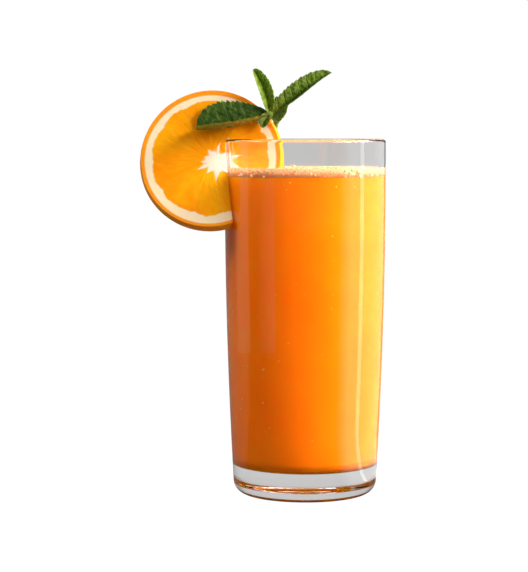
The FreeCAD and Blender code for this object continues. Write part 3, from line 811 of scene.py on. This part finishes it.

# %% [markdown]
# Froth is juice with air in it: paler, since light scatters sooner. A cell texture as a bump
# makes the fine foam, which is too small to be worth a mesh. The larger bubbles are pale at the
# edge and deeper in the middle: the pale edge is a painted sheen, a colour that follows the angle
# of view and stands in for the light on the thin skin seen at a slant there. Layer Weight gives
# that without any ray tracing of real films, which would be slow and noisy.

# %% Froth material
froth_look, tree, shader, _ = node_material("juice_froth")
place = tree.nodes.new("ShaderNodeTexCoord").outputs["Object"]
cells = tree.nodes.new("ShaderNodeTexVoronoi")
cells.inputs["Scale"].default_value = 1100
tree.links.new(place, cells.inputs["Vector"])
tint = ramp(tree, noise(tree, place, 190, detail=3),
            [(0.35, (0.81, 0.30, 0.12)), (0.65, (0.87, 0.39, 0.19))])
tree.links.new(tint, shader.inputs["Base Color"])
set_inputs(shader, Roughness=0.4, Specular_IOR_Level=0.2, Subsurface_Weight=0.5,
           Subsurface_Radius=(1.0, 0.5, 0.2), Subsurface_Scale=2 * MM)
tree.links.new(bump(tree, cells.outputs["Distance"], 0.3 * MM, 0.8), shader.inputs["Normal"])
froth.data.materials.append(froth_look)
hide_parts("froth")
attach(froth, BODY)
print(froth_look.name, "has", len(tree.nodes), "nodes")

bubble_look, tree, shader, _ = node_material("froth_bubble")
# the ramp on Facing paints a paler sheen at each bubble's edge, as light on its film would show
facing = add(tree, "ShaderNodeLayerWeight", Blend=0.5).outputs["Facing"]
tint = ramp(tree, facing, [(0.10, (0.86, 0.36, 0.11)), (0.60, (0.95, 0.62, 0.38))])
tree.links.new(tint, shader.inputs["Base Color"])
set_inputs(shader, Roughness=0.12, Specular_IOR_Level=0.5, Subsurface_Weight=0.6,
           Subsurface_Radius=(1.0, 0.6, 0.3), Subsurface_Scale=1 * MM)

# %% [markdown]
# ### Bubbles
# The bubbles could be a particle system, or a loop in Python. Geometry Nodes is used instead,
# since one tree with named inputs makes every set of bubbles here. A random angle, radius and
# height place each point; squaring a random number makes small bubbles common and large ones
# rare. Every random node has a seed of its own, so the froth comes out the same each time.

# %% Tree helpers


def new_tree(name, inputs):
    """A Geometry Nodes tree with named float or integer inputs and one geometry output."""
    tree = bpy.data.node_groups.new(name, "GeometryNodeTree")
    for label, kind in inputs:
        tree.interface.new_socket(label, in_out="INPUT", socket_type=kind)
    tree.interface.new_socket("Geometry", in_out="OUTPUT", socket_type="NodeSocketGeometry")
    return tree, tree.nodes.new("NodeGroupInput"), tree.nodes.new("NodeGroupOutput")


def random_between(tree, low, high, seed):
    """A random number for each point, between two sockets or numbers."""
    node = tree.nodes.new("FunctionNodeRandomValue")
    node.data_type = "FLOAT"
    sockets = [item for item in node.inputs if item.enabled]
    for socket, value in ((sockets[0], low), (sockets[1], high)):
        if isinstance(value, (int, float)):
            socket.default_value = value
        else:
            tree.links.new(value, socket)
    node.inputs["Seed"].default_value = seed
    return [item for item in node.outputs if item.enabled][0]


# %% Ring of bubbles


def ring_tree(name, material, seed):
    """Spheres strewn in a ring: each point gets an angle, a radius, a height and a size. Below
    the glass's shoulder the ring draws in as the flank does."""
    tree, given, result = new_tree(name, [
        ("Count", "NodeSocketInt"), ("Inner Radius", "NodeSocketFloat"),
        ("Outer Radius", "NodeSocketFloat"), ("Low", "NodeSocketFloat"),
        ("High", "NodeSocketFloat"), ("Smallest", "NodeSocketFloat"),
        ("Largest", "NodeSocketFloat")])
    points = tree.nodes.new("GeometryNodePoints")
    tree.links.new(given.outputs["Count"], points.inputs["Count"])
    turn = random_between(tree, 0.0, 2 * math.pi, seed)
    radius = random_between(tree, given.outputs["Inner Radius"], given.outputs["Outer Radius"],
                            seed + 1)
    height = random_between(tree, given.outputs["Low"], given.outputs["High"], seed + 2)
    below = math_node(tree, "MAXIMUM", math_node(tree, "SUBTRACT", shoulder, height), 0.0)
    drawn_in = math_node(tree, "DIVIDE", math_node(tree, "POWER", below, 2.0), 2 * FLANK_BEND)
    radius = math_node(tree, "SUBTRACT", radius, drawn_in)
    where = tree.nodes.new("ShaderNodeCombineXYZ")
    for axis, function in (("X", "COSINE"), ("Y", "SINE")):
        wave = math_node(tree, function, turn)
        tree.links.new(math_node(tree, "MULTIPLY", wave, radius), where.inputs[axis])
    tree.links.new(height, where.inputs["Z"])
    tree.links.new(where.outputs["Vector"], points.inputs["Position"])
    ball = add(tree, "GeometryNodeMeshIcoSphere", Radius=1.0, Subdivisions=2)
    strew = tree.nodes.new("GeometryNodeInstanceOnPoints")
    tree.links.new(points.outputs[0], strew.inputs["Points"])
    tree.links.new(ball.outputs["Mesh"], strew.inputs["Instance"])
    evenness = random_between(tree, 0.0, 1.0, seed + 3)
    span = math_node(tree, "SUBTRACT", given.outputs["Largest"], given.outputs["Smallest"])
    grown = math_node(tree, "ADD", given.outputs["Smallest"], math_node(
        tree, "MULTIPLY", span, math_node(tree, "POWER", evenness, 2.0)))
    tree.links.new(grown, strew.inputs["Scale"])
    real = tree.nodes.new("GeometryNodeRealizeInstances")
    tree.links.new(strew.outputs["Instances"], real.inputs["Geometry"])
    smooth = tree.nodes.new("GeometryNodeSetShadeSmooth")
    tree.links.new(real.outputs["Geometry"], smooth.inputs["Geometry"])
    finish = tree.nodes.new("GeometryNodeSetMaterial")
    finish.inputs["Material"].default_value = material
    tree.links.new(smooth.outputs["Geometry"], finish.inputs["Geometry"])
    tree.links.new(finish.outputs["Geometry"], result.inputs["Geometry"])
    return tree


def grow(name, tree, **values):
    """Run a tree on an empty mesh and keep what it makes as a plain mesh object."""
    carrier = mesh_object(name + "_carrier", [], [])
    modifier = carrier.modifiers.new(name, "NODES")
    modifier.node_group = tree
    for item in tree.interface.items_tree:
        if item.in_out == "INPUT" and item.name.replace(" ", "_") in values:
            modifier[item.identifier] = values[item.name.replace(" ", "_")]
    finished = plain_copy(carrier, name)
    discard(carrier)
    print(f"{name}: {len(finished.data.polygons)} faces")
    return finished


# %% Froth bubbles
ring_of_bubbles = grow("froth_ring_bubbles", ring_tree("ring of bubbles", bubble_look, 11),
                       Count=560, Inner_Radius=BORE - 0.9 * MM, Outer_Radius=BORE - 0.2 * MM,
                       Low=JUICE_TOP - 0.1 * MM, High=FROTH_TOP - 0.9 * MM,
                       Smallest=0.45 * MM, Largest=1.15 * MM)
top_bubbles = grow("froth_top_bubbles", ring_tree("top bubbles", bubble_look, 47),
                   Count=520, Inner_Radius=2 * MM, Outer_Radius=BORE - 1 * MM,
                   Low=dished - 0.35 * MM, High=dished + 0.05 * MM,
                   Smallest=0.25 * MM, Largest=0.7 * MM)
for bubbles in (ring_of_bubbles, top_bubbles):
    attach(bubbles, BODY)

# %% [markdown]
# A few bubbles and bits of pulp cling to the wall lower down. The same tree makes them, with
# other numbers: that is what its named inputs are for.

# %% Bubbles in the juice
speck_look, tree, shader, _ = node_material("juice_bubble")
set_inputs(shader, Base_Color=(1.0, 0.40, 0.06, 1), Roughness=0.4, Specular_IOR_Level=0.1)
specks = grow("juice_bubbles", ring_tree("juice bubbles", speck_look, 83),
              Count=420, Inner_Radius=BORE - 0.15 * MM, Outer_Radius=BORE,
              Low=FLOOR + 12 * MM, High=JUICE_TOP - 1 * MM,
              Smallest=0.16 * MM, Largest=0.52 * MM)
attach(specks, BODY)
print(speck_look.name, "has", len(tree.nodes), "nodes")

# %% [markdown]
# ## The mint
# A mint leaf is folded along its midrib into a V, toothed along its edge, and quilted: it bulges
# between its side veins. Each leaf here is a grid laid along a curved midrib, with the two
# halves standing off in directions of their own, and all of that is worked out from the same
# few numbers that shaped the solid model.

# %% Sprig frame
CROWN_ANGLE, CROWN_OUT = math.radians(36.3), 2.5
CROWN = Vector((SLICE_RADIUS / MM * math.cos(CROWN_ANGLE),
                SLICE_RADIUS / MM * math.sin(CROWN_ANGLE), CROWN_OUT))
LEAVES = {
    "lying": dict(length=33.3, half=13.0, taper=0.38, heading=(-0.984, -0.195, -0.033),
                  bows=((0, -0.10, 0), (0, -0.06, 0)), far=(0, 0.99, 0.12), near=(0, -0.10, 1),
                  shade=0.0, teeth=13),
    "upright": dict(length=22.5, half=5.6, taper=0.5, heading=(-0.342, 0.94, 0),
                    bows=((0.09, 0, 0), (0.09, 0, 0)), far=(-0.5, 0, 0.87),
                    near=(0.75, 0, 0.66), shade=0.85, teeth=9),
    "right": dict(length=33.5, half=7.4, taper=0.6, heading=(0.815, 0.58, 0),
                  bows=((0.04, -0.06, 0), (-0.02, 0.03, 0)), far=(-0.48, 0.69, 0.54),
                  near=(0.19, -0.27, 0.94), shade=0.35, teeth=14, lobe=6.4),
    "hanging": dict(length=6.8, half=3.2, taper=0.6, heading=(-0.42, -0.90, 0.1),
                    bows=((-0.15, 0, 0.1), (-0.10, 0, 0.1)), far=(-0.85, 0.3, 0.5),
                    near=(0.85, -0.2, 0.5), shade=0.5, teeth=3),
    "bud": dict(length=9.6, half=2.4, taper=0.6, heading=(0.32, 0.93, -0.15),
                bows=((0.05, 0, 0), (0.05, 0, 0)), far=(-0.7, 0.1, 0.7),
                near=(0.8, -0.1, 0.6), shade=0.6, teeth=4),
}
LEAF_THICKNESS = 0.7
ROWS_PER_TOOTH, HALF_COLUMNS = 12, 13
VEINS = 8


def slice_place(across, up, out):
    """A place given in millimetres across, up and out from the slice's front face."""
    return slice_frame @ (Vector((across, up, out)) * MM + Vector((0, 0, SLICE_HALF)))


# %% [markdown]
# ### The shape of a leaf
# A leaf could be a plane bent with a Curve modifier, but then its teeth and its quilting would
# bend too. Here each point is worked out from how far along the leaf it is and how far across:
# a cubic curve carries the midrib, a width rule swells and narrows the blade, and small terms
# add teeth, the bulge between two side veins, and a slight curl.

# %% Leaf shape


def bezier(points, share):
    """A point on a cubic curve, and its direction there."""
    rest = 1 - share
    first, second, third, last = points
    place = (first * rest ** 3 + second * (3 * rest ** 2 * share)
             + third * (3 * rest * share ** 2) + last * share ** 3)
    heading = ((second - first) * rest ** 2 + (third - second) * (2 * rest * share)
               + (last - third) * share ** 2)
    return place, heading.normalized()


def blade_width(share, half, taper):
    """Half the blade's width along it: a narrow stalk, a swelling, a tip."""
    stalk, swell = 0.7, 0.6
    widest = swell / (swell + taper)
    peak = widest ** swell * (1 - widest) ** taper
    return stalk * (1 - share) + (half - stalk) * share ** swell * (1 - share) ** taper / peak


def leaf_points(leaf, share, side):
    """A point of the leaf's middle surface, and its upward direction. Side runs from -1 at the
    far edge, through 0 on the midrib, to 1 at the near edge."""
    heading = Vector(leaf["heading"]).normalized()
    first, second = (Vector(bow) for bow in leaf["bows"])
    length = leaf["length"]
    path = [CROWN, CROWN + (heading / 3 + first) * length,
            CROWN + (heading * (2 / 3) + second) * length, CROWN + heading * length]
    place, rib = bezier(path, share)
    half = max(blade_width(share, leaf["half"], leaf["taper"]), 0.25)
    far, near = Vector(leaf["far"]), Vector(leaf["near"])
    if leaf.get("lobe"):
        early = max(0.0, 1 - share / 0.26)
        near = near.lerp(Vector((0.35, -0.93, 0.10)), min(1.0, 1.6 * early))
        if side > 0:
            half = max(half, leaf["lobe"] * early ** 0.5 if share > 0.02 else 1.0)
    far, near = ((way - rib * way.dot(rib)).normalized() for way in (far, near))
    rise = (far + near).normalized()
    way = near if side > 0 else far
    reach = abs(side)
    tooth = (share * leaf["teeth"]) % 1.0
    notch = 1 - 0.09 * (1 - tooth) * reach ** 6
    vein = share * VEINS - 0.9 * reach * (0.4 + leaf["half"] / length)
    between = vein % 1.0
    fade = min(1.0, 6 * reach) * min(1.0, 5 * (1 - reach) + 0.25) * min(1.0, 8 * (1 - share))
    quilt = 0.045 * half * (4 * between * (1 - between) - 0.5) * fade
    spot = Vector((share * length, side * half, leaf["length"])) * 0.45
    quilt += 0.04 * half * field.noise(spot) * min(1.0, 6 * reach)
    curl = -0.10 * half * (reach ** 2 - reach)
    point = place + way * (half * reach * notch) + rise * (quilt + curl)
    return point, rise


def leaf_mesh(leaf):
    """Points, faces and per-point values of one leaf: its upper skin, then its lower."""
    rows = leaf["teeth"] * ROWS_PER_TOOTH
    columns = 2 * HALF_COLUMNS + 1
    points, values = [], []
    for skin in (1, -1):
        for row in range(rows + 1):
            share = 1 - (1 - row / rows) ** 1.15
            thick = LEAF_THICKNESS / 2 * (1 - share / 2)
            for column in range(columns):
                side = column / HALF_COLUMNS - 1
                point, rise = leaf_points(leaf, share, side)
                point += rise * (skin * thick * (1 - side ** 2))
                points.append(slice_place(*point))
                values.append((share, side, leaf["shade"], 0.0 if skin > 0 else 1.0))
    faces = []
    lower = (rows + 1) * columns
    for row in range(rows):
        for column in range(columns - 1):
            a = row * columns + column
            b, c, d = a + 1, a + columns + 1, a + columns
            faces += [(a, b, c, d), (lower + d, lower + c, lower + b, lower + a)]
    return points, faces, values


# %% [markdown]
# All five leaves go into one mesh. Each point keeps four values of its own: how far along and
# across it is, how young its leaf is, and whether it is on the underside. The material reads
# them, so that veins follow the leaf however it is turned, which plain coordinates can't do.

# %% Leaves
all_points, all_faces, all_values = [], [], []
for name, leaf in LEAVES.items():
    points, faces, values = leaf_mesh(leaf)
    start = len(all_points)
    all_points += points
    all_faces += [tuple(start + index for index in face) for face in faces]
    all_values += values
leaves = mesh_object("mint_leaves", all_points, all_faces)
for index, label in enumerate(("along", "side", "shade", "under")):
    attribute = leaves.data.attributes.new(label, "FLOAT", "POINT")
    attribute.data.foreach_set("value", [value[index] for value in all_values])
weld = bmesh.new()
weld.from_mesh(leaves.data)
bmesh.ops.remove_doubles(weld, verts=weld.verts, dist=0.002 * MM)
weld.to_mesh(leaves.data)
weld.free()
print("mint leaves:", len(leaves.data.polygons), "faces")

# %% [markdown]
# ### Leaf colour
# Mint is dark and slightly glossy above, paler and dull below, and its veins are lighter than
# the blade. Young leaves at the top are yellower. A painted picture would show one leaf well;
# veins worked out from the values on the points suit all five.

# %% Leaf material
leaf_look, tree, shader, _ = node_material("mint_leaf")


def named(tree, label):
    """A per-point value of the piece's own."""
    node = tree.nodes.new("ShaderNodeAttribute")
    node.attribute_name = label
    return node.outputs["Fac"]


place = tree.nodes.new("ShaderNodeTexCoord").outputs["Object"]
reach = math_node(tree, "ABSOLUTE", named(tree, "side"))
vein = math_node(tree, "FRACT", math_node(
    tree, "SUBTRACT", math_node(tree, "MULTIPLY", named(tree, "along"), VEINS),
    math_node(tree, "MULTIPLY", reach, 0.62)))
from_vein = math_node(tree, "MINIMUM", vein, math_node(tree, "SUBTRACT", 1.0, vein))
side_vein = math_node(tree, "SUBTRACT", 1.0, step_between(tree, from_vein, 0.03, 0.10))
midrib = math_node(tree, "SUBTRACT", 1.0, step_between(tree, reach, 0.02, 0.07))
veins = math_node(tree, "MAXIMUM", midrib, math_node(tree, "MULTIPLY", side_vein, 0.45))
mottle = step_between(tree, noise(tree, place, 420, detail=3), 0.35, 0.68)
deep = blend_colours(tree, mottle, (0.028, 0.062, 0.004), (0.070, 0.130, 0.010))
young = blend_colours(tree, mottle, (0.13, 0.20, 0.010), (0.24, 0.33, 0.022))
upper = blend_colours(tree, named(tree, "shade"), deep, young)
upper = blend_colours(tree, math_node(tree, "MULTIPLY", veins, 0.30), upper,
                      (0.24, 0.33, 0.05))
under = blend_colours(tree, mottle, (0.16, 0.19, 0.018), (0.27, 0.30, 0.040))
colour = blend_colours(tree, named(tree, "under"), upper, under)
tree.links.new(colour, shader.inputs["Base Color"])
set_inputs(shader, Roughness=0.48, Specular_IOR_Level=0.2, Subsurface_Weight=0.15,
           Subsurface_Radius=(0.5, 1.0, 0.1), Subsurface_Scale=0.8 * MM)
cells = tree.nodes.new("ShaderNodeTexVoronoi")
cells.inputs["Scale"].default_value = 620
tree.links.new(place, cells.inputs["Vector"])
relief = math_node(tree, "ADD", cells.outputs["Distance"], math_node(
    tree, "MULTIPLY", veins, -0.8))
tree.links.new(bump(tree, relief, 0.35 * MM, 0.8), shader.inputs["Normal"])
leaves.data.materials.append(leaf_look)
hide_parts("mint_sprig")
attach(leaves, BODY)
print(leaf_look.name, "has", len(tree.nodes), "nodes")

# %% [markdown]
# ### The stem
# The sprig would fall off if nothing held it, so its stem bends over the edge of the slice and
# runs down behind it into the drink. A bevelled curve could do this. A mesh is built instead,
# because a mint stem is nearly square in section, which a bevel's circle is not. The knot is a
# ball made uneven by a noise, where the leaves leave the stem.

# %% Stem path
STEM_RADIUS, STEM_GAP, STEM_BEND = 1.1, 0.8, 4.0
BEND_ANGLE = math.radians(34)
behind = -(2 * SLICE_HALF / MM + STEM_RADIUS + STEM_GAP)
bend_reach = SLICE_RADIUS / MM + STEM_RADIUS + STEM_GAP + STEM_BEND / 10
stem_corner = Vector((bend_reach * math.cos(BEND_ANGLE), bend_reach * math.sin(BEND_ANGLE),
                      behind))
sprig_low, _ = corners("mint_sprig")
start, turn = slice_place(*CROWN), slice_place(*stem_corner)
down = slice_turned.to_3x3() @ Vector((-0.2, -1, 0)).normalized()
end = turn + down * ((sprig_low.z + 0.6 * MM - turn.z) / down.z)


def stem_path(share):
    """A place along the stem: straight, round the bend, then straight down."""
    early, late = turn + (start - turn) * 0.42, turn + (end - turn) * 0.12
    if share < 0.15:
        return start.lerp(early, share / 0.15)
    if share > 0.35:
        return late.lerp(end, (share - 0.35) / 0.65)
    step = (share - 0.15) / 0.20
    return early * (1 - step) ** 2 + turn * (2 * step * (1 - step)) + late * step ** 2


# %% Stem mesh
STEM_STEPS, STEM_SIDES = 90, 20
stem_points, stem_faces = [], []
for step in range(STEM_STEPS + 1):
    share = step / STEM_STEPS
    here, ahead = stem_path(share), stem_path(min(1.0, share + 0.01))
    before = stem_path(max(0.0, share - 0.01))
    along = (ahead - before).normalized()
    first = along.cross(Vector((0.3, 1, 0.1))).normalized()
    second = along.cross(first)
    for k in range(STEM_SIDES):
        a = 2 * math.pi * k / STEM_SIDES
        square = 1 - 0.10 * math.cos(4 * a)         # mint stems are square
        radius = STEM_RADIUS * MM * square * (0.97 - 0.05 * math.sin(share * 40))
        stem_points.append(here + (first * math.cos(a) + second * math.sin(a)) * radius)
for step in range(STEM_STEPS):
    for k in range(STEM_SIDES):
        after = (k + 1) % STEM_SIDES
        low, high = step * STEM_SIDES, (step + 1) * STEM_SIDES
        stem_faces.append((low + k, low + after, high + after, high + k))
stem_points += [start, end]
for k in range(STEM_SIDES):
    after = (k + 1) % STEM_SIDES
    stem_faces.append((after, k, len(stem_points) - 2))
    stem_faces.append((STEM_STEPS * STEM_SIDES + k, STEM_STEPS * STEM_SIDES + after,
                       len(stem_points) - 1))

# %% Knot
KNOT_RINGS, KNOT_SIDES, KNOT_RADIUS = 16, 28, 2.0
base = len(stem_points)
for ring in range(1, KNOT_RINGS):
    polar = math.pi * ring / KNOT_RINGS
    for k in range(KNOT_SIDES):
        a = 2 * math.pi * k / KNOT_SIDES
        way = Vector((math.sin(polar) * math.cos(a), math.cos(polar),
                      math.sin(polar) * math.sin(a)))
        lumpy = KNOT_RADIUS * (0.90 + 0.12 * field.noise(way * 2.1))
        stem_points.append(slice_place(*(CROWN + way * lumpy)))
for ring in range(KNOT_RINGS - 2):
    for k in range(KNOT_SIDES):
        after = (k + 1) % KNOT_SIDES
        low, high = base + ring * KNOT_SIDES, base + (ring + 1) * KNOT_SIDES
        stem_faces.append((low + k, high + k, high + after, low + after))
top, bottom = len(stem_points), len(stem_points) + 1
stem_points += [slice_place(*(CROWN + Vector((0, KNOT_RADIUS * 0.9, 0)))),
                slice_place(*(CROWN - Vector((0, KNOT_RADIUS * 0.9, 0))))]
for k in range(KNOT_SIDES):
    after = (k + 1) % KNOT_SIDES
    stem_faces.append((top, base + k, base + after))
    last = base + (KNOT_RINGS - 2) * KNOT_SIDES
    stem_faces.append((bottom, last + after, last + k))
stem = mesh_object("mint_stem", stem_points, stem_faces)
print("mint stem:", len(stem.data.polygons), "faces")

# %% Stem material
stem_look, tree, shader, _ = node_material("mint_stem")
place = tree.nodes.new("ShaderNodeTexCoord").outputs["Object"]
tint = ramp(tree, noise(tree, place, 300, detail=3),
            [(0.3, (0.10, 0.16, 0.012)), (0.7, (0.22, 0.30, 0.03))])
tree.links.new(tint, shader.inputs["Base Color"])
set_inputs(shader, Roughness=0.45, Specular_IOR_Level=0.35)
stem.data.materials.append(stem_look)
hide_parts("mint_sprig")
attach(stem, BODY)
print(stem_look.name, "has", len(tree.nodes), "nodes")
